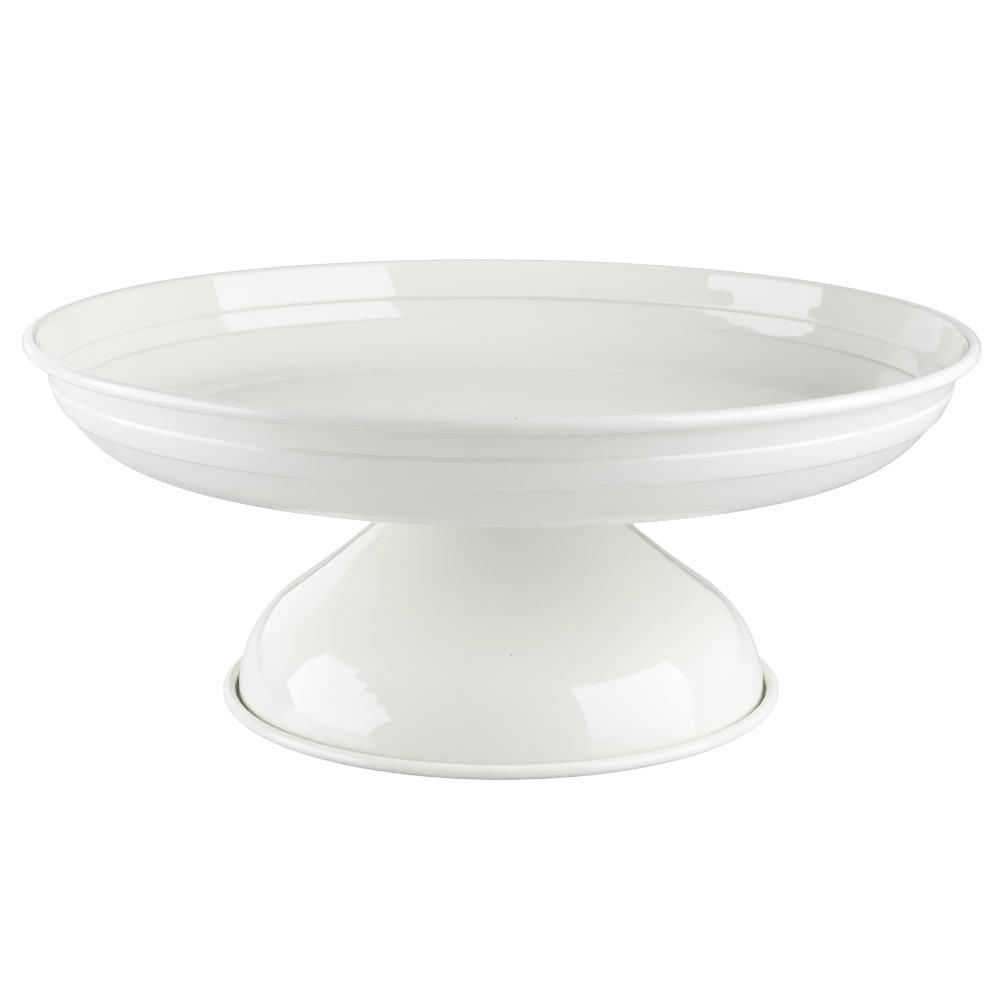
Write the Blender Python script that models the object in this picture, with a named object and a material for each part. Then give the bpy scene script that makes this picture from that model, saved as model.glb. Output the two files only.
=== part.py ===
"""A footed serving bowl in enamelled sheet steel.

Two pressed parts are turned about the Z axis: a shallow bowl with a rolled rim and one
raised band round its wall, and a hollow bell-shaped foot with a rolled hem to stand on.
The frame is +Z up, in metres, with its origin on the floor under the middle of the foot.
"""

import math

import bmesh
import bpy
import numpy as np

MM = 0.001

# The whole piece
HEIGHT = 121 * MM
RIM_RADIUS = 150 * MM
SHEET = 1.0 * MM  # steel with its enamel
JOINT_GAP = 0.3 * MM  # between the bowl's underside and the foot's top
SEGMENTS = 64  # sides of every turned face

# The bowl
BOWL_UNDERSIDE = 83 * MM
FLOOR_RADIUS = 112 * MM  # flat part of the base
KNUCKLE_RADIUS = 28 * MM  # curve from the base into the wall
KNUCKLE_TURN = 48.5  # degrees
WALL_RADIUS = 99 * MM  # the wall's own gentle curve
WALL_TURN = 4.8
BAND_START = (139.3 * MM, 99.8 * MM)  # lower edge of the raised band, on the outside
BAND_SLOPE = 45  # degrees above the floor, at its lower edge
BAND_RADIUS = 13.8 * MM
BAND_TURN = 35
COLLAR_START = 108.6 * MM  # height where the plain collar under the rim begins
COLLAR_FLARE = 20.6  # degrees from upright
RIM_BEAD_RADIUS = 2.5 * MM

# The foot
FOOT_RADIUS = 91 * MM  # outside the rolled hem
HEM_BEAD_RADIUS = 2.2 * MM
SKIRT_RADIUS = 85.7 * MM  # where the bell stands upright, inside the hem
SKIRT_START = 1.5 * MM
SHOULDER_START = 2.1 * MM
SHOULDER_RADIUS = 37.6 * MM
SHOULDER_TURN = 54.7
FLANK_RADIUS = 311 * MM  # the long slope above the shoulder is a little hollow
FLANK_TURN = 5.8
NECK_RADIUS = 28 * MM  # curve from the slope up into the neck
FOOT_EDGE_RADIUS = 1.5 * MM  # round edge at the top of the neck
GROOVE_ANGLE = 205  # degrees round the hem bead, where the groove's floor meets it

BEAD_STEP = 30  # degrees between the corners of a rolled bead
MERGE = 0.01 * MM
CREASE = 30  # degrees between faces, past which their edge is shaded sharp


def polar(centre, radius, degrees):
    """The points at these angles round a centre."""
    angles = np.radians(degrees)
    return np.stack([centre[0] + radius * np.cos(angles), centre[1] + radius * np.sin(angles)], -1)


def bend(start, heading, radius, turn, steps):
    """Points of an arc that leaves start along heading, to the left if turn is positive.

    The start point itself is left out. Angles are in degrees.
    """
    side = 90 if turn > 0 else -90
    centre = polar(start, radius, heading + side)
    return polar(centre, radius, heading - side + np.linspace(0, turn, steps + 1)[1:])


def inset(outline, depth):
    """The outline moved by depth to its left side, with mitred corners."""
    runs = np.diff(outline, axis=0)
    runs /= np.linalg.norm(runs, axis=1, keepdims=True)
    normals = np.stack([-runs[:, 1], runs[:, 0]], -1)
    before = np.vstack([normals[:1], normals])
    after = np.vstack([normals, normals[-1:]])
    spread = 1 + np.sum(before * after, axis=1, keepdims=True)
    return outline + depth * (before + after) / spread


def bowl_skin():
    """The bowl's underside and outer wall, from the middle of its base up to the rim."""
    base_edge = (FLOOR_RADIUS, BOWL_UNDERSIDE)
    knuckle = bend(base_edge, 0, KNUCKLE_RADIUS, KNUCKLE_TURN, 5)
    wall = bend(knuckle[-1], KNUCKLE_TURN, WALL_RADIUS, WALL_TURN, 1)
    band = bend(BAND_START, BAND_SLOPE, BAND_RADIUS, BAND_TURN, 3)
    return [(0, BOWL_UNDERSIDE), base_edge, *knuckle, *wall, BAND_START, *band]


def bowl_outline():
    """The closed section of the bowl, from the middle of its floor to that of its underside."""
    bead_centre = (RIM_RADIUS - RIM_BEAD_RADIUS, HEIGHT - RIM_BEAD_RADIUS)
    outward = 180 - COLLAR_FLARE  # where the collar's inner face runs into the bead
    to_outer_face = RIM_BEAD_RADIUS - SHEET
    under_bead = outward + math.degrees(math.acos(to_outer_face / RIM_BEAD_RADIUS))
    crease = polar(bead_centre, RIM_BEAD_RADIUS, under_bead)
    fall = crease[1] - COLLAR_START
    collar_foot = (crease[0] - fall * math.tan(math.radians(COLLAR_FLARE)), COLLAR_START)
    skin = np.array([*bowl_skin(), collar_foot, crease])
    round_bead = [outward, *range(120, -121, -BEAD_STEP)]
    bead = polar(bead_centre, RIM_BEAD_RADIUS, round_bead)
    return np.vstack([inset(skin, SHEET)[:-1], bead, skin[::-1]])


def foot_skin():
    """The foot's outer face, from the bottom of the skirt up to the middle of its top."""
    top = BOWL_UNDERSIDE - JOINT_GAP
    shoulder_start = (SKIRT_RADIUS, SHOULDER_START)
    shoulder = bend(shoulder_start, 90, SHOULDER_RADIUS, SHOULDER_TURN, 5)
    flank_heading = 90 + SHOULDER_TURN
    flank = bend(shoulder[-1], flank_heading, FLANK_RADIUS, -FLANK_TURN, 2)
    neck_heading = flank_heading - FLANK_TURN
    neck = bend(flank[-1], neck_heading, NECK_RADIUS, 90 - neck_heading, 3)
    edge_start = (neck[-1][0], top - FOOT_EDGE_RADIUS)
    edge = bend(edge_start, 90, FOOT_EDGE_RADIUS, 90, 1)
    skirt_foot = (SKIRT_RADIUS, SKIRT_START)
    rise = [skirt_foot, shoulder_start, *shoulder, *flank, *neck]
    return np.array([*rise, edge_start, *edge, (0, top)])


def hem():
    """The groove at the bottom of the skirt, the rolled bead and the flat ring to stand on."""
    bead_centre = (FOOT_RADIUS - HEM_BEAD_RADIUS, HEM_BEAD_RADIUS)
    groove_floor = (SKIRT_RADIUS + SHEET / 2, SHEET)
    bead = polar(bead_centre, HEM_BEAD_RADIUS, [GROOVE_ANGLE, *range(180, -91, -BEAD_STEP)])
    ring_inside = (SKIRT_RADIUS, 0)
    return [groove_floor, *bead, ring_inside]


def foot_outline():
    """The closed section of the foot, from the middle of its top down round the hem and back."""
    skin = foot_skin()
    return np.vstack([skin[::-1], hem(), inset(skin, SHEET)])


def enamel(name, colour, roughness):
    """A glossy fired enamel."""
    material = bpy.data.materials.new(name)
    material.use_nodes = True
    shader = material.node_tree.nodes["Principled BSDF"]
    shader.inputs["Base Color"].default_value = (*colour, 1)
    shader.inputs["Roughness"].default_value = roughness
    shader.inputs["Metallic"].default_value = 0
    return material


def turned(name, outline, material):
    """An object made by turning a section, given as radius and height, about the Z axis."""
    shape = bmesh.new()
    corners = [shape.verts.new((radius, 0, height)) for radius, height in outline]
    sides = [shape.edges.new(ends) for ends in zip(corners, corners[1:])]
    turn = {"cent": (0, 0, 0), "axis": (0, 0, 1), "angle": math.tau, "steps": SEGMENTS}
    bmesh.ops.spin(shape, geom=corners + sides, **turn)
    bmesh.ops.remove_doubles(shape, verts=shape.verts, dist=MERGE)
    bmesh.ops.recalc_face_normals(shape, faces=shape.faces)
    mesh = bpy.data.meshes.new(name)
    shape.to_mesh(mesh)
    shape.free()
    mesh.shade_smooth()
    mesh.set_sharp_from_angle(angle=math.radians(CREASE))
    mesh.materials.append(material)
    piece = bpy.data.objects.new(name, mesh)
    bpy.context.scene.collection.objects.link(piece)


def main():
    for piece in list(bpy.data.objects):
        bpy.data.objects.remove(piece)
    white = enamel("white_enamel", (0.80, 0.80, 0.76), 0.12)
    turned("bowl", bowl_outline(), white)
    turned("foot", foot_outline(), white)


main()
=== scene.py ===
"""A footed serving bowl in white enamelled steel, in a small bright studio.

The bowl and its foot are turned about the Z axis: each is one closed section, given as radius
and height, that is carried round a circle. Every object is in metres, +Z up, with the origin
on the floor under the middle of the foot.
"""

import math

import bpy
import numpy as np
from bpy.props import FloatProperty, FloatVectorProperty, IntProperty, PointerProperty
from bpy.types import Operator, Panel, PropertyGroup
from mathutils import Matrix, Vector


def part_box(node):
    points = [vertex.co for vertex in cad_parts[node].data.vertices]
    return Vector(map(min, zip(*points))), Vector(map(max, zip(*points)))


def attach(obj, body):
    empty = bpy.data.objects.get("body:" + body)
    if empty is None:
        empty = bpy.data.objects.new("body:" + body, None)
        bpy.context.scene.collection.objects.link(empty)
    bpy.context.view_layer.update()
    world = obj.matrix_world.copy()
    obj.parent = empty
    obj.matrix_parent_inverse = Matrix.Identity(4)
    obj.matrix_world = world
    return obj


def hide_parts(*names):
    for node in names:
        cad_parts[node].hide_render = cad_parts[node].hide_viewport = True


bl_info = {
    "name": "Footed serving bowl",
    "version": (1, 0, 0),
    "blender": (4, 5, 0),
    "location": "3D View > Sidebar > Footed bowl",
    "description": "Makes a footed serving bowl in enamelled steel, and a bright studio for it",
    "category": "Add Mesh",
}

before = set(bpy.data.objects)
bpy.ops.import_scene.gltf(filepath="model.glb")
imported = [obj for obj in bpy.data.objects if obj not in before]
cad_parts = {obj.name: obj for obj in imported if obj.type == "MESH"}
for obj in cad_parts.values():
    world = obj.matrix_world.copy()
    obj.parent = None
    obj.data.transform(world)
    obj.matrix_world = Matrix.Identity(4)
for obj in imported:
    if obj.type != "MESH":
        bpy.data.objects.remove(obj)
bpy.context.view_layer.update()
BOWL_LOW, BOWL_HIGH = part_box("bowl")
FOOT_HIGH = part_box("foot")[1]

MM = 0.001
MICRON = 0.000001
FINE_STEP = 0.05 * MM  # between the points of a section while it is being worked out
LONGEST_STEP = 4 * MM  # between the points that a finished section keeps, where it is straight
LARGEST_TURN = math.radians(7)  # between its runs, where it bends
EDGE_WIDTH = 0.4 * MM  # over which the bending of a section is averaged
INSIDE_ROUNDING = 1.2 * MM  # softness of the corner inside the foot's top
FOOT_INTO_BOWL = 0.3 * MM  # how far the fillet at the foot's top reaches into the bowl's base
RIM_SEED, HEM_SEED = 1, 2  # for the slow waves
RIM_SHARE, HEM_SHARE = 6, 8  # powers of the radius: how closely the waves keep to the edge
GLASS_IOR = 1.5


# ---------------------------------------------------------------- sizes and looks


def length(name, description, default, **more):
    """A property that holds a length in metres."""
    limits = {"min": 0.0, "precision": 5, "unit": "LENGTH", "subtype": "DISTANCE"}
    return FloatProperty(name=name, description=description, default=default, **{**limits, **more})


def angle(name, description, degrees):
    """A property that holds an angle, given here in degrees."""
    default = math.radians(degrees)
    kind = {"unit": "ROTATION", "subtype": "ANGLE"}
    return FloatProperty(name=name, description=description, default=default, **kind)


def colour(name, description, default):
    """A property that holds a colour."""
    kind = {"size": 3, "subtype": "COLOR", "min": 0.0, "max": 1.0}
    return FloatVectorProperty(name=name, description=description, default=default, **kind)


def amount(name, description, default, **more):
    """A property that holds a plain number."""
    kind = {"min": 0.0, "precision": 3}
    return FloatProperty(name=name, description=description, default=default, **{**kind, **more})


class BowlSizes(PropertyGroup):
    """The bowl's section."""

    rim_radius: length("Rim radius", "Outside the rolled rim", BOWL_HIGH.x)
    height: length("Height", "Top of the rim above the floor", BOWL_HIGH.z)
    underside: length("Underside", "Flat base above the floor", BOWL_LOW.z)
    sheet: length("Sheet", "Steel with its enamel", 1.0 * MM)
    flat_radius: length("Flat radius", "Level part of the base", 99 * MM)
    floor_radius: length("Floor radius", "Where the knuckle's curve would be level", 112 * MM)
    crease_turn: angle("Crease turn", "The knuckle's slope at the crease round the floor", 16.6)
    knuckle_radius: length("Knuckle radius", "Curve from the base into the wall", 28 * MM)
    knuckle_turn: angle("Knuckle turn", "How far the knuckle turns upward", 48.5)
    wall_radius: length("Wall radius", "The wall's own gentle curve", 99 * MM)
    wall_turn: angle("Wall turn", "How far the wall turns above the knuckle", 5)
    band_edge_radius: length("Band edge radius", "Outside the band's lower edge", 139.4 * MM)
    band_edge_height: length("Band edge height", "The band's lower edge", 99.6 * MM)
    band_slope: angle("Band slope", "The band's lower edge above level", 59.8)
    band_radius: length("Band radius", "The raised band's own curve", 33.9 * MM)
    band_turn: angle("Band turn", "How far the band turns upward", 14)
    collar_flare: angle("Collar flare", "The collar's slope from upright, at its middle", 20.6)
    collar_radius: length("Collar radius", "The collar's own gentle curve", 51 * MM)
    collar_turn: angle("Collar turn", "How far the collar turns upward", 13)
    bead_radius: length("Rim bead radius", "The rolled rim's own radius", 2.5 * MM)
    ridge_rounding: length("Ridge rounding", "Softness of the pressed ridges", 0.38 * MM)
    lean: angle("Lean", "How far the bowl is tipped to its right on the foot", 0.45)
    waviness: length("Waviness", "How far the rim departs from a true circle", 0.12 * MM)


class FootSizes(PropertyGroup):
    """The foot's section."""

    hem_radius: length("Hem radius", "Outside the rolled hem", FOOT_HIGH.x)
    sheet: length("Sheet", "Steel with its enamel", 1.0 * MM)
    bead_radius: length("Hem bead radius", "The rolled hem's own radius", 2.2 * MM)
    skirt_radius: length("Skirt radius", "The upright skirt inside the hem", 85.7 * MM)
    skirt_height: length("Skirt height", "Where the shoulder starts", 2.1 * MM)
    groove_floor: length("Groove floor", "Bottom of the groove inside the hem", 1.0 * MM)
    shoulder_radius: length("Shoulder radius", "Curve of the round shoulder", 37.6 * MM)
    shoulder_turn: angle("Shoulder turn", "How far the shoulder turns inward", 54.7)
    flank_radius: length("Flank radius", "The long slope's hollow curve", 311 * MM)
    flank_turn: angle("Flank turn", "How far the slope turns upward", 5.8)
    neck_radius: length("Neck curve", "Curve from the slope up into the neck", 28 * MM)
    fillet_radius: length("Fillet radius", "Enamel in the corner under the bowl", 2 * MM)
    waviness: length("Waviness", "How far the hem departs from a true circle", 0.12 * MM)


class EnamelLook(PropertyGroup):
    """The glossy fired enamel on both parts."""

    white: colour("White", "The enamel where it lies evenly", (0.895, 0.90, 0.805))
    thin: colour("Thin enamel", "Where it is drawn thin over an edge", (0.74, 0.75, 0.69))
    drawn: amount("Drawn thin", "Share of the thin enamel at the sharpest edges", 0.3, max=1.0)
    cloud: amount("Cloud", "Share of the thin enamel in its faint clouds", 0.1, max=1.0)
    cloud_size: length("Cloud size", "Width of the faint clouds", 35 * MM)
    # Painted shade: the colour and the share of a darker tone laid into the sharpest inward
    # creases, where shadow falls.
    shade: colour("Shade", "What lies in the sharpest creases", (0.42, 0.41, 0.37))
    painted_shade_share: amount("Creased", "Share of the shade in the sharpest creases", 0.6, max=1.0)
    speck: colour("Speck", "A pinhole in the enamel", (0.42, 0.40, 0.35))
    speck_radius: length("Speck radius", "Of a pinhole", 0.36 * MM)
    roughness: amount("Roughness", "Of the fired surface", 0.03, max=1.0)
    peel_size: length("Peel size", "Width of the fine dimples", 1.6 * MM)
    peel_depth: length("Peel depth", "Depth of the fine dimples", 1.2 * MICRON, precision=7)
    sag_size: length("Sag size", "Width of the slow waves", 11 * MM)
    sag_depth: length("Sag depth", "Depth of the slow waves", 14 * MICRON, precision=7)


class StudioLook(PropertyGroup):
    """The lights, the table and the camera."""

    umbrella_low: amount("Umbrella, low", "Radiance of the umbrella at its lower edge", 5.4)
    umbrella_high: amount("Umbrella, high", "Radiance of the umbrella at its top", 4.8)
    soft_box_low: amount("Soft box, low", "Radiance of the soft box at its lower edge", 3.1)
    soft_box_high: amount("Soft box, high", "Radiance of the soft box at its top", 5.6)
    lamp_tint: colour("Lamp tint", "Colour of every lamp", (0.92, 0.92, 1.0))
    window: amount("Window", "Radiance of the window on the left, behind the bowl", 1.5)
    back: amount("Back", "Radiance of the white wall behind the bowl", 0.75)
    right_wall: amount("Right wall", "Radiance of the room high on the right", 0.45)
    ceiling_left: amount("Ceiling, left", "Radiance of the ceiling's left half", 0.1)
    ceiling_right: amount("Ceiling, right", "Radiance of the ceiling's right half", 0.75)
    film_white: amount("Film white", "Brightness that comes out as pure white", 1.4)
    table_glow: amount("Table glow", "Added brightness of the table to the camera", 1.2)
    table_white: colour("Table", "Colour of the table", (0.66, 0.66, 0.66))
    table_roughness: amount("Table roughness", "Of the table's sheet", 0.2, max=1.0)
    camera_distance: length("Camera distance", "In front of the bowl's axis", 0.7814)
    camera_height: length("Camera height", "Above the table", 0.25)
    camera_pitch: angle("Camera pitch", "How far the camera looks down", 13.435)
    camera_lens: amount("Lens", "Focal length in millimetres", 89.55, unit="CAMERA")


class FootedBowl(PropertyGroup):
    """Everything that a user would change."""

    bowl: PointerProperty(type=BowlSizes)
    foot: PointerProperty(type=FootSizes)
    enamel: PointerProperty(type=EnamelLook)
    studio: PointerProperty(type=StudioLook)
    sides: IntProperty(name="Sides", description="Round every turned piece", default=352, min=64)


# ---------------------------------------------------------------- sections


def polar(centre, radius, degrees):
    """The points at these angles round a centre: centre + radius (cos a, sin a)."""
    angles = np.radians(degrees)
    return np.stack([centre[0] + radius * np.cos(angles), centre[1] + radius * np.sin(angles)], -1)


def arc(centre, radius, first, last):
    """Points one degree apart on a circle, from one angle to another, in degrees."""
    return polar(centre, radius, np.linspace(first, last, max(2, int(abs(last - first)) + 1)))


def bend(start, heading, radius, turn):
    """An arc that leaves start along heading, to the left if turn is positive, in degrees."""
    side = 90 if turn > 0 else -90
    centre = polar(start, radius, heading + side)
    return arc(centre, radius, heading - side, heading - side + turn)


def even(path):
    """The same path with its points a fine step apart, each read off at its distance along it."""
    runs = np.linalg.norm(np.diff(path, axis=0), axis=1)
    along = np.concatenate([[0], np.cumsum(runs)])
    places = np.linspace(0, along[-1], int(along[-1] / FINE_STEP) + 2)
    return np.stack([np.interp(places, along, path[:, axis]) for axis in (0, 1)], -1)


def bell(width, reach):
    """Weights exp(-(distance / width)^2 / 2), at reach fine steps to both sides; their sum is 1."""
    steps = np.arange(-reach, reach + 1) * FINE_STEP
    weights = np.exp(-0.5 * (steps / width) ** 2)
    return weights / weights.sum()


def soften(path, width):
    """The path with its corners rounded: a moving average, weighted by a bell curve of width.

    Each end is continued by its own reflection in the end point, so the ends stay in place.
    """
    path = even(path)
    reach = int(4 * width / FINE_STEP)
    before = 2 * path[0] - path[reach:0:-1]
    after = 2 * path[-1] - path[-2 : -reach - 2 : -1]
    whole = np.vstack([before, path, after])
    weights = bell(width, reach)
    smooth = [np.convolve(whole[:, axis], weights, "valid") for axis in (0, 1)]
    return np.stack(smooth, -1)


def beside(path, distance):
    """The path moved sideways, to its left if distance is positive."""
    runs = np.gradient(path, axis=0)
    runs /= np.linalg.norm(runs, axis=1, keepdims=True)
    return path + distance * np.stack([-runs[:, 1], runs[:, 0]], -1)


def headings(path):
    """The direction of each run of a path, in radians, without jumps."""
    runs = np.diff(path, axis=0)
    return np.unwrap(np.arctan2(runs[:, 1], runs[:, 0]))


def thinned(path):
    """The path with only the points it needs, and how sharply it bends outward at each.

    A step counts as its length over the longest one, plus its turning over the largest turn, and
    the points kept are those where this sum reaches a whole number. The second value is the
    outward turning for each millimetre, averaged with a bell curve over the width of an edge.
    """
    path = even(path)
    heading = headings(path)
    runs = np.linalg.norm(np.diff(path, axis=0), axis=1)
    turning = np.concatenate([[0], np.diff(heading), [0]])
    effort = runs / LONGEST_STEP + np.abs(turning[1:]) / LARGEST_TURN
    cost = np.concatenate([[0], np.cumsum(effort)])
    places = np.linspace(0, cost[-1], int(cost[-1]) + 2)
    weights = bell(EDGE_WIDTH, round(3 * EDGE_WIDTH / FINE_STEP))
    bending = -np.convolve(turning / FINE_STEP * MM, weights, "same")
    columns = (path[:, 0], path[:, 1], bending)
    radius, height, bending = (np.interp(places, cost, column) for column in columns)
    return np.stack([radius, height], -1), bending


def bowl_section(size):
    """The bowl's closed section: its inner face from the middle out, the rim, its outer face back.

    The wall's middle line is the chain of base, knuckle, wall, band and collar, softened, and the
    two faces run half the sheet to either side of it. A shallow cone joins the level base to the
    crease where the knuckle starts. The rolled rim is a circle that the inner face runs into
    without a corner.
    """
    half = size.sheet / 2
    degrees = {name: math.degrees(getattr(size, name)) for name in
               ("crease_turn", "knuckle_turn", "wall_turn", "band_slope", "band_turn",
                "collar_flare", "collar_turn")}
    centre = (size.floor_radius, size.underside + size.knuckle_radius)
    ends = (degrees["crease_turn"] - 90, degrees["knuckle_turn"] - 90)
    knuckle = arc(centre, size.knuckle_radius, *ends)
    wall = bend(knuckle[-1], degrees["knuckle_turn"], size.wall_radius, degrees["wall_turn"])
    band_edge = (size.band_edge_radius, size.band_edge_height)
    band = bend(band_edge, degrees["band_slope"], size.band_radius, degrees["band_turn"])
    bead_centre = np.array((size.rim_radius - size.bead_radius, size.height - size.bead_radius))
    outward = 180 - degrees["collar_flare"] + degrees["collar_turn"] / 2
    collar_top = polar(bead_centre, size.bead_radius - size.sheet, outward)
    collar = bend(collar_top, outward + 90, size.collar_radius, -degrees["collar_turn"])[::-1]
    base = [(0, size.underside), (size.flat_radius, size.underside)]
    skin = np.vstack([base, knuckle, wall, band, collar])
    middle = beside(soften(skin, size.ridge_rounding), half)
    inner, outer = beside(middle, half), beside(middle, -half)
    under_bead = outward + math.degrees(math.acos(1 - size.sheet / size.bead_radius))
    bead = arc(bead_centre, size.bead_radius, outward, under_bead - 360)
    below_bead = outer[outer[:, 1] < bead[-1][1]]
    return np.vstack([inner[:-1], bead, below_bead[::-1]])


def foot_section(size, top):
    """The foot's closed section, from the middle of its top down its outer face and back inside.

    The outer face is the neck, the hollow flank, the round shoulder and the skirt. The inner face
    runs one sheet inside it, under a flat top, and the enamel runs out in a fillet under the bowl.
    """
    shoulder_turn, flank_turn = math.degrees(size.shoulder_turn), math.degrees(size.flank_turn)
    skirt_top = (size.skirt_radius, size.skirt_height)
    shoulder = bend(skirt_top, 90, size.shoulder_radius, shoulder_turn)
    flank = bend(shoulder[-1], 90 + shoulder_turn, size.flank_radius, -flank_turn)
    slope = 90 + shoulder_turn - flank_turn
    neck = bend(flank[-1], slope, size.neck_radius, 90 - slope)
    rise = np.vstack([shoulder, flank, neck])
    neck_top = (neck[-1][0], top - size.fillet_radius)
    fillet = bend(neck_top, 90, size.fillet_radius, -90)
    outer = np.vstack([(size.skirt_radius, size.groove_floor), rise, fillet, (0, fillet[-1][1])])
    inside = np.vstack([(size.skirt_radius, 0), rise, (neck[-1][0], top), (0, top)])
    inner = beside(soften(inside, INSIDE_ROUNDING), size.sheet)
    bead_centre = (size.hem_radius - size.bead_radius, size.bead_radius)
    groove_angle = 180 + math.degrees(math.asin(1 - size.groove_floor / size.bead_radius))
    bead = arc(bead_centre, size.bead_radius, groove_angle, -90)
    return np.vstack([outer[::-1], bead, (inner[0][0], 0), inner[1:]])


# ---------------------------------------------------------------- meshes


def full_turn(sides):
    """The angles of the sides of a full circle."""
    return np.linspace(0, math.tau, sides, endpoint=False)


def bands(count, sides):
    """The four-sided faces between neighbours of count rings, whose points are stored in order."""
    ring = np.arange(sides)
    ahead = np.roll(ring, -1)
    start = (np.arange(count - 1) * sides)[:, None]
    corners = (start + ring, start + sides + ring, start + sides + ahead, start + ahead)
    return np.stack(corners, -1).reshape(-1, 4).tolist()


def turned(name, section, sides, shape):
    """A mesh made by carrying a section round the Z axis, with one point at each of its poles.

    A point of the surface at turn t is (r cos t, r sin t, z), with r and z read from the section,
    and then moved by shape, a function of the points' places and turns.
    """
    outline, bending = thinned(section)
    outline[[0, -1], 0] = 0
    turn = full_turn(sides)
    radius, height = outline[1:-1, 0, None], outline[1:-1, 1, None]
    x, y = radius * np.cos(turn), radius * np.sin(turn)
    rings = np.stack([x, y, height + 0 * turn], -1).reshape(-1, 3)
    poles = [(0, 0, outline[0, 1]), (0, 0, outline[-1, 1])]
    points = shape(np.vstack([rings, poles]))
    count = len(radius)
    ring = np.arange(sides)
    ahead = np.roll(ring, -1)
    last = (count - 1) * sides
    first_pole = np.full(sides, count * sides)
    first_fan = np.stack([first_pole, ring, ahead], -1)
    last_fan = np.stack([last + ring, first_pole + 1, last + ahead], -1)
    faces = bands(count, sides) + first_fan.tolist() + last_fan.tolist()
    mesh = bpy.data.meshes.new(name)
    mesh.from_pydata(points, [], faces)
    mesh.shade_smooth()
    edge = mesh.attributes.new("edge", "FLOAT", "POINT")
    values = np.concatenate([np.repeat(bending[1:-1], sides), bending[[0, -1]]])
    edge.data.foreach_set("value", values.astype(np.float32))
    piece = bpy.data.objects.new(name, mesh)
    bpy.context.scene.collection.objects.link(piece)
    return piece


def wave(turn, seed):
    """A slow wave round a circle, within about 1: a few harmonics of falling size.

    It is the sum of size cos(order t + start), with the starts drawn from the seed.
    """
    dice = np.random.default_rng(seed)
    orders = np.array([2, 3, 5, 8, 13])
    sizes = np.array([0.5, 0.4, 0.3, 0.2, 0.12])
    starts = dice.uniform(0, math.tau, len(orders))
    return np.sum(sizes * np.cos(np.multiply.outer(turn, orders) + starts), axis=-1)


def tipped(points, lean, pivot):
    """The points turned about a line along Y through a height: the right side goes down."""
    x, z = points[:, 0], points[:, 2] - pivot
    cos, sin = math.cos(lean), math.sin(lean)
    return np.stack([x * cos + z * sin, points[:, 1], pivot + z * cos - x * sin], -1)


# ---------------------------------------------------------------- materials


def add(tree, kind, inputs=None, **settings):
    """A new node with its settings and inputs: a value sets an input, and a socket joins it."""
    node = tree.nodes.new(kind)
    for name, value in settings.items():
        setattr(node, name, value)
    for name, value in (inputs or {}).items():
        if isinstance(value, bpy.types.NodeSocket):
            tree.links.new(value, node.inputs[name])
        else:
            node.inputs[name].default_value = value
    return node


def new_material(name):
    """An empty node material and its tree."""
    material = bpy.data.materials.new(name)
    material.use_nodes = True
    material.node_tree.nodes.clear()
    return material, material.node_tree


def noise(tree, place, size, detail=1.0):
    """Smooth noise from 0 to 1 whose waves are about this size."""
    pattern = {"Vector": place, "Scale": 1 / size, "Detail": detail}
    return add(tree, "ShaderNodeTexNoise", pattern).outputs["Fac"]


def ramp(tree, value, start, end, low, high):
    """Value's place between start and end, carried over to the span from low to high."""
    span = {"Value": value, "From Min": start, "From Max": end, "To Min": low, "To Max": high}
    return add(tree, "ShaderNodeMapRange", span).outputs[0]


def mixed(tree, share, first, second):
    """First where share is 0 and second where it is 1: each is a colour or a socket."""
    node = add(tree, "ShaderNodeMix", {0: share}, data_type="RGBA")
    for end, tint in ((6, first), (7, second)):
        if isinstance(tint, bpy.types.NodeSocket):
            tree.links.new(tint, node.inputs[end])
        else:
            node.inputs[end].default_value = (*tint, 1)
    return node.outputs[2]


# Where the enamel has a pinhole: two on the rim, two in the bowl and one on the foot's shoulder.
PINHOLES = ((3.9 * MM, -148.8 * MM, 120.6 * MM), (107 * MM, -103.5 * MM, 119.8 * MM),
            (-49.1 * MM, 128.5 * MM, 96.5 * MM), (-106 * MM, 95.5 * MM, 107.2 * MM),
            (3.1 * MM, -70.2 * MM, 32.5 * MM))
PINHOLE_CORE = 0.6  # share of a pinhole's radius that is fully dark
CLOUD_NOISE = (0.3, 0.7)  # values of the noise where a cloud starts and where it is full
THIN_EDGE = (0.5, 1.5)  # outward turning, for each millimetre, where the enamel is drawn thin
# Painted shade: where a section turns inward this sharply, its colour is darkened as if by shadow.
PAINTED_SHADE_TURN = (-0.5, -2.0)  # and the inward turning where the shade gathers


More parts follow.
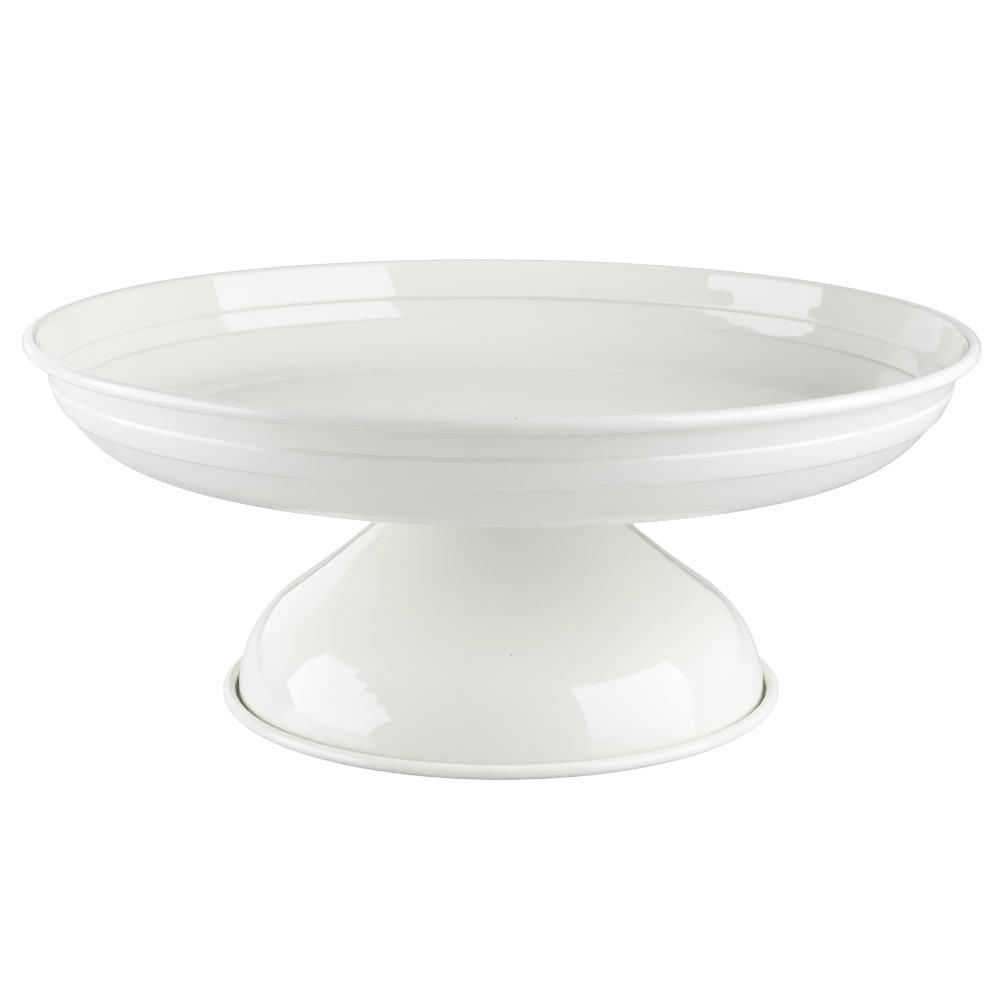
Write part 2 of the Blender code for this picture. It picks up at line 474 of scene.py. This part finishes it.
def enamel(look):
    """White enamel: dimpled like fired glass, thin over sharp edges, with a few pinholes.

    The dimples and the slower waves are heights for bump. A pinhole is where the surface comes
    within its radius of one of the places in PINHOLES. Painted shade darkens the colour where the
    section bends sharply inward, in its creases.
    """
    material, tree = new_material("white enamel")
    place = add(tree, "ShaderNodeTexCoord").outputs["Object"]
    cloud = ramp(tree, noise(tree, place, look.cloud_size, 2), *CLOUD_NOISE, 0.0, look.cloud)
    edge = add(tree, "ShaderNodeAttribute", attribute_name="edge").outputs["Fac"]
    drawn = ramp(tree, edge, *THIN_EDGE, 0.0, look.drawn)
    thinness = add(tree, "ShaderNodeMath", {0: cloud, 1: drawn}, operation="ADD").outputs[0]
    # Painted shade: its share rises where the section bends sharply inward, in the creases.
    painted_shade_share = ramp(tree, edge, *PAINTED_SHADE_TURN, 0.0, look.painted_shade_share)
    nearest = 1.0  # metres, further than any pinhole
    for centre in PINHOLES:
        away = add(tree, "ShaderNodeVectorMath", {0: place, 1: centre}, operation="DISTANCE")
        pair = {0: nearest, 1: away.outputs["Value"]}
        nearest = add(tree, "ShaderNodeMath", pair, operation="MINIMUM").outputs[0]
    core = PINHOLE_CORE * look.speck_radius
    pinhole = ramp(tree, nearest, core, look.speck_radius, 1.0, 0.0)
    # The enamel's colour, with painted shade laid over its creases.
    glaze_and_painted_shade = mixed(tree, painted_shade_share, mixed(tree, thinness, look.white, look.thin), look.shade)
    tint = mixed(tree, pinhole, glaze_and_painted_shade, look.speck)
    sag = {"Height": noise(tree, place, look.sag_size), "Distance": look.sag_depth}
    slow = add(tree, "ShaderNodeBump", sag).outputs[0]
    dimples = noise(tree, place, look.peel_size)
    peel = {"Height": dimples, "Distance": look.peel_depth, "Normal": slow}
    fine = add(tree, "ShaderNodeBump", peel).outputs[0]
    gloss = {"Base Color": tint, "Roughness": look.roughness, "IOR": GLASS_IOR, "Normal": fine}
    shader = add(tree, "ShaderNodeBsdfPrincipled", gloss)
    add(tree, "ShaderNodeOutputMaterial", {"Surface": shader.outputs[0]})
    return material


def table_sheet(look):
    """The white sheet that the bowl stands on: the camera sees it brighter than the bowl does."""
    material, tree = new_material("table sheet")
    seen = add(tree, "ShaderNodeLightPath").outputs["Is Camera Ray"]
    glow = ramp(tree, seen, 0, 1, 0, look.table_glow)
    finish = {"Base Color": (*look.table_white, 1), "Roughness": look.table_roughness}
    shine = {"Emission Color": (1, 1, 1, 1), "Emission Strength": glow}
    shader = add(tree, "ShaderNodeBsdfPrincipled", {**finish, **shine})
    add(tree, "ShaderNodeOutputMaterial", {"Surface": shader.outputs[0]})
    return material


# ---------------------------------------------------------------- the studio


# A lamp's outline is flat. Its corners are metres to the right and up, as the bowl sees them,
# from the foot of the line that meets the lamp's plane squarely from the origin.
SOFT_BOX = ((-0.40, -0.25), (0.37, -0.25), (0.37, 0.62), (-0.40, 0.62))
WINDOW = ((-0.45, -0.20), (0.30, -0.20), (0.38, 0.25), (0.20, 0.45), (-0.45, 0.45))
UMBRELLA = ((0.25, 0.48), (0.33, 0.48), (0.36, 0.41), (0.42, 0.39), (0.39, 0.31), (0.43, 0.27),
            (0.40, 0.18), (0.43, 0.12), (0.41, 0.04), (0.45, -0.05), (0.35, -0.10), (0.23, -0.25),
            (-0.30, -0.25), (-0.34, -0.10), (-0.44, 0.05), (-0.37, 0.08), (-0.35, 0.16),
            (-0.25, 0.16), (-0.23, 0.25), (-0.12, 0.24), (-0.09, 0.33), (0.02, 0.32),
            (0.06, 0.41), (0.16, 0.40))

# Where each lamp stands: azimuth, elevation and roll in degrees, and its distance in metres.
SOFT_BOX_PLACE = {"azimuth": 61, "elevation": 16, "distance": 0.81, "roll": 10}
UMBRELLA_PLACE = {"azimuth": -75, "elevation": 15, "distance": 0.80, "roll": 0}
WINDOW_PLACE = {"azimuth": -155, "elevation": 12, "distance": 1.5, "roll": 0}
LAMP_LOW, LAMP_HIGH = 0.1, 0.6  # heights where a lamp's two strengths hold

# The room's parts, as spans of a view direction's own coordinates over which they fade in.
WALL_BEHIND = (0.1, 0.6)
ABOVE_TABLE = (0.0, 0.12)
RIGHT_SIDE = (0.1, 0.8)
HIGH_ON_WALL = (0.35, 0.65)
CEILING_ACROSS = (-0.3, 0.4)
CEILING_STARTS = (0.7, 0.92)

TABLE_RINGS = 24
TABLE_SIDES = 96
TABLE_RADII = (0.1, 60)
CAMERA_SIDEWAYS = -0.3 * MM
FILM_KNEE = 0.6  # the tone above which the film eases off
FILM_TONES = (0.2, 0.4, FILM_KNEE, 0.75, 0.9, 1.05, 1.2)  # where its curve has points


def direction(azimuth, elevation):
    """The unit vector towards a place in the sky, in degrees: azimuth 0 is where the camera is."""
    a, e = math.radians(azimuth), math.radians(elevation)
    return Vector((math.sin(a) * math.cos(e), -math.cos(a) * math.cos(e), math.sin(e)))


def lamp(name, outline, place, low, high, tint):
    """A flat glowing panel that faces the bowl, turned by its roll in its own plane.

    A corner is at distance n + x right + y up, with n the direction of the panel's middle. Its
    radiance goes from low to high between two heights.
    """
    facing = direction(place["azimuth"], place["elevation"])
    right = facing.cross(Vector((0, 0, 1))).normalized()
    up = right.cross(facing)
    roll = math.radians(place["roll"])
    cos, sin = math.cos(roll), math.sin(roll)
    right, up = cos * right + sin * up, cos * up - sin * right
    corners = [place["distance"] * facing + x * right + y * up for x, y in outline]
    mesh = bpy.data.meshes.new(name)
    mesh.from_pydata(corners, [], [list(range(len(corners)))])
    material, tree = new_material(name)
    point = add(tree, "ShaderNodeTexCoord").outputs["Object"]
    height = add(tree, "ShaderNodeSeparateXYZ", {0: point}).outputs["Z"]
    strength = ramp(tree, height, LAMP_LOW, LAMP_HIGH, low, high)
    glow = add(tree, "ShaderNodeEmission", {"Color": (*tint, 1), "Strength": strength})
    add(tree, "ShaderNodeOutputMaterial", {"Surface": glow.outputs[0]})
    mesh.materials.append(material)
    panel = bpy.data.objects.new(name, mesh)
    panel.visible_camera = False
    bpy.context.scene.collection.objects.link(panel)


def sky(look):
    """The room as the bowl sees it: dark in front, white behind, a ceiling bright on its right.

    The camera sees plain white in its place.
    """
    world = bpy.data.worlds.new("studio")
    world.use_nodes = True
    tree = world.node_tree
    tree.nodes.clear()
    view = add(tree, "ShaderNodeTexCoord").outputs["Generated"]
    axes = add(tree, "ShaderNodeSeparateXYZ", {0: view}).outputs

    def soft(axis, fade, low=0.0, high=1.0):
        ends = {"From Min": fade[0], "From Max": fade[1], "To Min": low, "To Max": high}
        span = {"Value": axes[axis], **ends}
        return add(tree, "ShaderNodeMapRange", span, interpolation_type="SMOOTHSTEP").outputs[0]

    def blend(share, first, second):
        ends = {0: share, 2: first, 3: second}
        return add(tree, "ShaderNodeMix", ends, data_type="FLOAT").outputs[0]

    behind = soft("Y", WALL_BEHIND, 0.0, look.back)
    near_floor = blend(soft("Z", ABOVE_TABLE), 0.0, behind)
    side = soft("X", RIGHT_SIDE, 0.0, look.right_wall)
    wall = blend(soft("Z", HIGH_ON_WALL), near_floor, side)
    ceiling = soft("X", CEILING_ACROSS, look.ceiling_left, look.ceiling_right)
    total = blend(soft("Z", CEILING_STARTS), wall, ceiling)
    seen = add(tree, "ShaderNodeLightPath").outputs["Is Camera Ray"]
    strength = blend(seen, total, look.film_white)
    light = add(tree, "ShaderNodeBackground", {"Color": (1, 1, 1, 1), "Strength": strength})
    add(tree, "ShaderNodeOutputWorld", {"Surface": light.outputs[0]})
    bpy.context.scene.world = world


def table(look):
    """A wide level sheet under the bowl: a disc in rings, of points (r cos t, r sin t, 0)."""
    radius = np.geomspace(*TABLE_RADII, TABLE_RINGS)[:, None]
    turn = full_turn(TABLE_SIDES)
    points = np.stack([radius * np.cos(turn), radius * np.sin(turn), 0 * radius * turn], -1)
    middle = list(range(TABLE_SIDES))
    mesh = bpy.data.meshes.new("table")
    mesh.from_pydata(points.reshape(-1, 3), [], [*bands(TABLE_RINGS, TABLE_SIDES), middle])
    mesh.materials.append(table_sheet(look))
    floor = bpy.data.objects.new("table", mesh)
    bpy.context.scene.collection.objects.link(floor)


def camera(look):
    """A camera in front of the bowl that looks down at it a little."""
    data = bpy.data.cameras.new("camera")
    data.lens = look.camera_lens
    seat = bpy.data.objects.new("camera", data)
    seat.location = (CAMERA_SIDEWAYS, -look.camera_distance, look.camera_height)
    seat.rotation_euler = (math.pi / 2 - look.camera_pitch, 0, 0)
    bpy.context.scene.collection.objects.link(seat)
    bpy.context.scene.camera = seat


def film(view, white):
    """A film that keeps tones up to a knee as they are, and eases brighter ones towards white.

    With k the knee, and t the tone's place between k and white, a tone above the knee comes out
    as k + (1 - k) * 2t / (1 + t).
    """
    view.view_transform = "Standard"
    view.use_curve_mapping = True
    mapping = view.curve_mapping
    mapping.white_level = (white, white, white)
    curve = mapping.curves[3]
    for tone in FILM_TONES:
        t = max(0, (tone - FILM_KNEE) / (white - FILM_KNEE))
        eased = min(tone, FILM_KNEE) + (1 - FILM_KNEE) * 2 * t / (1 + t)
        curve.points.new(tone / white, eased)
    mapping.update()


# ---------------------------------------------------------------- operators


def finished(piece, node, look):
    """Gives a piece its enamel and its place on the body that carries it, and hides the CAD part of
    the same name.
    """
    material = bpy.data.materials.get("white enamel") or enamel(look)
    piece.data.materials.append(material)
    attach(piece, "root")
    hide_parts(node)


class OBJECT_OT_enamel_bowl(Operator):
    """Makes the shallow bowl, with its raised band and its rolled rim"""

    bl_idname = "object.enamel_bowl"
    bl_label = "Bowl"

    def execute(self, context):
        settings = context.scene.footed_bowl
        size = settings.bowl

        def shape(points):
            """Raises the rim in slow waves, then tips the bowl."""
            radius = np.hypot(points[:, 0], points[:, 1])
            turn = np.arctan2(points[:, 1], points[:, 0])
            share = (radius / size.rim_radius) ** RIM_SHARE
            rise = size.waviness * share * wave(turn, RIM_SEED)
            lifted = points + np.stack([0 * rise, 0 * rise, rise], -1)
            return tipped(lifted, size.lean, size.underside)

        piece = turned("bowl_shell", bowl_section(size), settings.sides, shape)
        finished(piece, "bowl", settings.enamel)
        return {"FINISHED"}


class OBJECT_OT_enamel_foot(Operator):
    """Makes the bell-shaped foot, with its rolled hem"""

    bl_idname = "object.enamel_foot"
    bl_label = "Foot"

    def execute(self, context):
        settings = context.scene.footed_bowl
        size = settings.foot
        top = settings.bowl.underside + FOOT_INTO_BOWL

        def shape(points):
            """Spreads the hem in slow waves."""
            radius = np.hypot(points[:, 0], points[:, 1])
            turn = np.arctan2(points[:, 1], points[:, 0])
            share = np.clip(radius / size.hem_radius, 0, 1) ** HEM_SHARE
            spread = size.waviness * (share * wave(turn, HEM_SEED)) / np.maximum(radius, MM)
            return points * np.stack([1 + spread, 1 + spread, 1 + 0 * spread], -1)

        piece = turned("foot_bell", foot_section(size, top), settings.sides, shape)
        finished(piece, "foot", settings.enamel)
        return {"FINISHED"}


class SCENE_OT_enamel_studio(Operator):
    """Makes the white table, the lights round it and the camera"""

    bl_idname = "scene.enamel_studio"
    bl_label = "Studio"

    def execute(self, context):
        look = context.scene.footed_bowl.studio
        table(look)
        sky(look)
        soft_box = (look.soft_box_low, look.soft_box_high)
        umbrella = (look.umbrella_low, look.umbrella_high)
        lamp("soft box", SOFT_BOX, SOFT_BOX_PLACE, *soft_box, look.lamp_tint)
        lamp("umbrella", UMBRELLA, UMBRELLA_PLACE, *umbrella, look.lamp_tint)
        lamp("window", WINDOW, WINDOW_PLACE, look.window, look.window, look.lamp_tint)
        camera(look)
        film(context.scene.view_settings, look.film_white)
        return {"FINISHED"}


class VIEW3D_PT_footed_bowl(Panel):
    """Lists the pieces of the footed bowl"""

    bl_label = "Footed bowl"
    bl_category = "Footed bowl"
    bl_space_type = "VIEW_3D"
    bl_region_type = "UI"

    def draw(self, context):
        settings = context.scene.footed_bowl
        self.layout.prop(settings, "sides")
        for part, maker in (("bowl", "object.enamel_bowl"), ("foot", "object.enamel_foot"),
                            ("enamel", None), ("studio", "scene.enamel_studio")):
            group = getattr(settings, part)
            box = self.layout.box()
            for name in type(group).__annotations__:
                box.prop(group, name)
            if maker:
                box.operator(maker)


CLASSES = (BowlSizes, FootSizes, EnamelLook, StudioLook, FootedBowl, OBJECT_OT_enamel_bowl,
           OBJECT_OT_enamel_foot, SCENE_OT_enamel_studio, VIEW3D_PT_footed_bowl)


def register():
    for item in CLASSES:
        bpy.utils.register_class(item)
    bpy.types.Scene.footed_bowl = PointerProperty(type=FootedBowl)


def unregister():
    del bpy.types.Scene.footed_bowl
    for item in reversed(CLASSES):
        bpy.utils.unregister_class(item)


def main():
    register()
    bpy.ops.object.enamel_bowl()
    bpy.ops.object.enamel_foot()
    bpy.ops.scene.enamel_studio()


if __name__ == "__main__":
    main()
